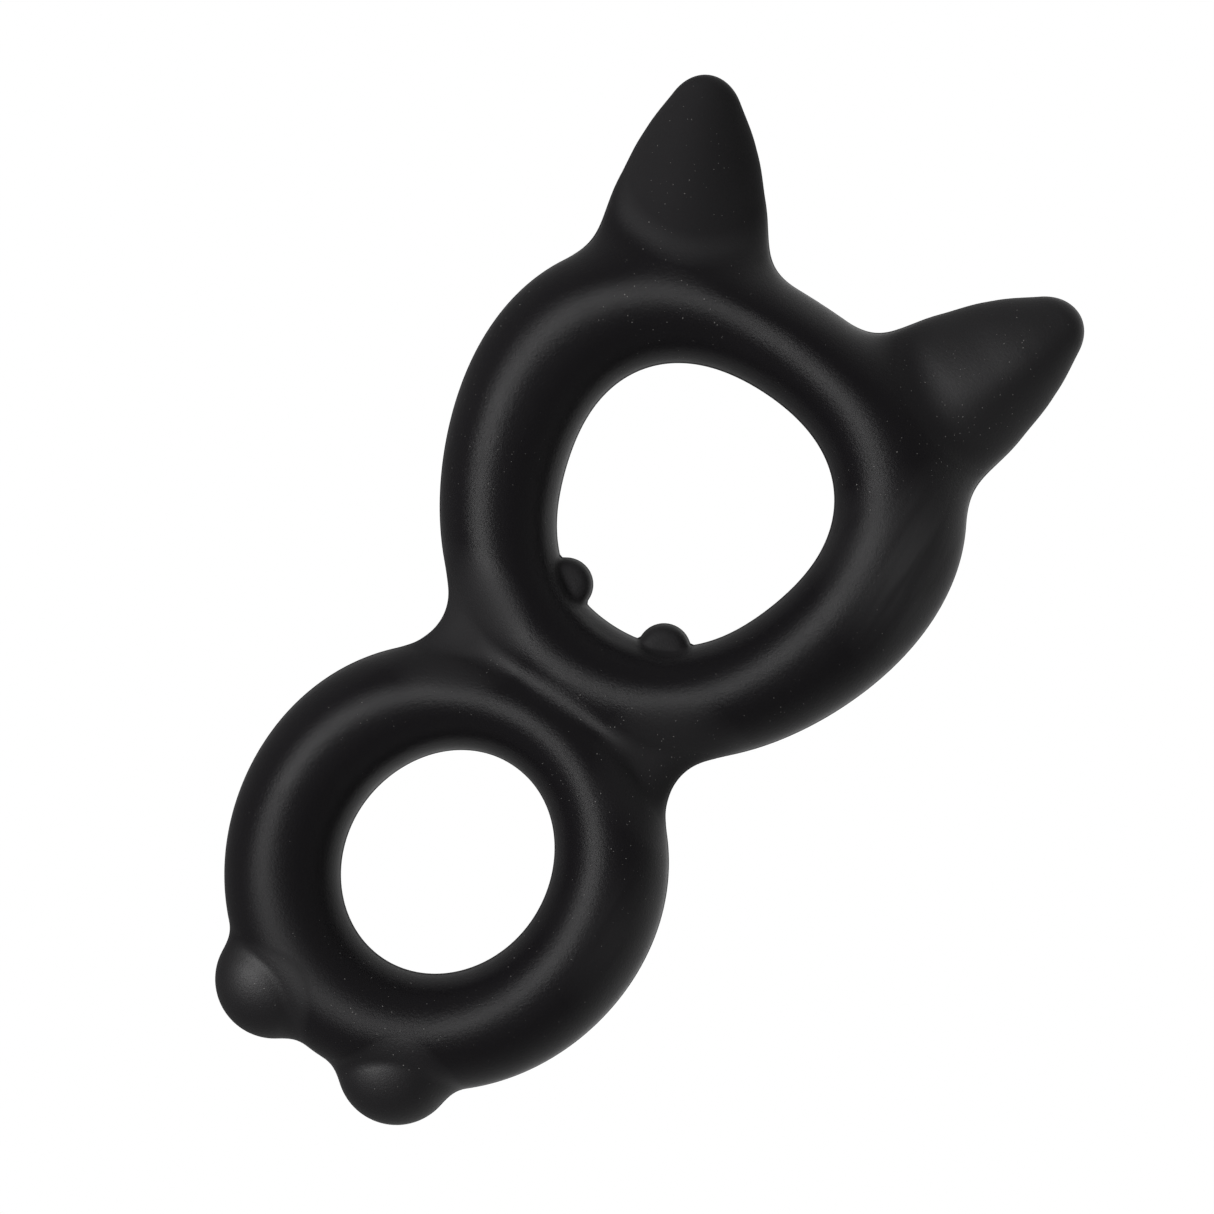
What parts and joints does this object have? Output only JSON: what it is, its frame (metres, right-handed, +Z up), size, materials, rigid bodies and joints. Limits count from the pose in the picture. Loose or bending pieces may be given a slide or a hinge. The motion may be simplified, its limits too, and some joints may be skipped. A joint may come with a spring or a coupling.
{
  "type": "silicone double ring",
  "caption": "Soft silicone figure-eight ring for intimate wear: a large eared ring with inner nubs, joined by a bending bridge to a smaller footed ring.",
  "frame": {"origin": "centre of the footprint, on the surface that the ring lies on", "axes": "+Y along the ring from the feet to the ears, +Z up out of the surface, +X to the right with the ears away from the viewer"},
  "size_m": [0.0572, 0.115, 0.0122],
  "materials": {
    "silicone": "satin black silicone with a fine moulded grain, a few specks of dust and a thin parting line"
  },
  "bodies": {
    "large_ring_base": {"large_ring_lower_arch": "silicone", "left_nub": "silicone", "right_nub": "silicone", "bridge": "silicone"},
    "large_ring_crown": {"large_ring_upper_arch": "silicone", "left_ear_root": "silicone", "right_ear_root": "silicone"},
    "left_ear": {"left_ear": "silicone"},
    "right_ear": {"right_ear": "silicone"},
    "small_ring_base": {"small_ring_upper_arch": "silicone"},
    "small_ring_toe": {"small_ring_lower_arch": "silicone", "left_foot": "silicone", "right_foot": "silicone"}
  },
  "joints": [
    {"name": "large_ring_stretch", "type": "slide", "parent": "large_ring_base", "child": "large_ring_crown", "axis": [0, 1, 0], "range_m": [0, 0.015], "stiffness_N_per_m": 600},
    {"name": "small_ring_stretch", "type": "slide", "parent": "small_ring_base", "child": "small_ring_toe", "axis": [0, -1, 0], "range_m": [0, 0.012], "stiffness_N_per_m": 600},
    {"name": "ring_fold", "type": "hinge", "parent": "large_ring_base", "child": "small_ring_base", "pos_m": [0, -0.0086, 0.0061], "axis": [1, 0, 0], "range_deg": [-60, 60], "stiffness_Nm_per_rad": 0.12, "deforming": ["bridge"]},
    {"name": "left_ear_flap", "type": "hinge", "parent": "large_ring_crown", "child": "left_ear", "pos_m": [-0.0172, 0.0416, 0.0061], "axis": [0.8829, 0.4695, 0], "range_deg": [-45, 45], "stiffness_Nm_per_rad": 0.012, "deforming": ["left_ear_root"]},
    {"name": "right_ear_flap", "type": "hinge", "parent": "large_ring_crown", "child": "right_ear", "pos_m": [0.0172, 0.0416, 0.0061], "axis": [0.8829, -0.4695, 0], "range_deg": [-45, 45], "stiffness_Nm_per_rad": 0.012, "deforming": ["right_ear_root"]}
  ]
}
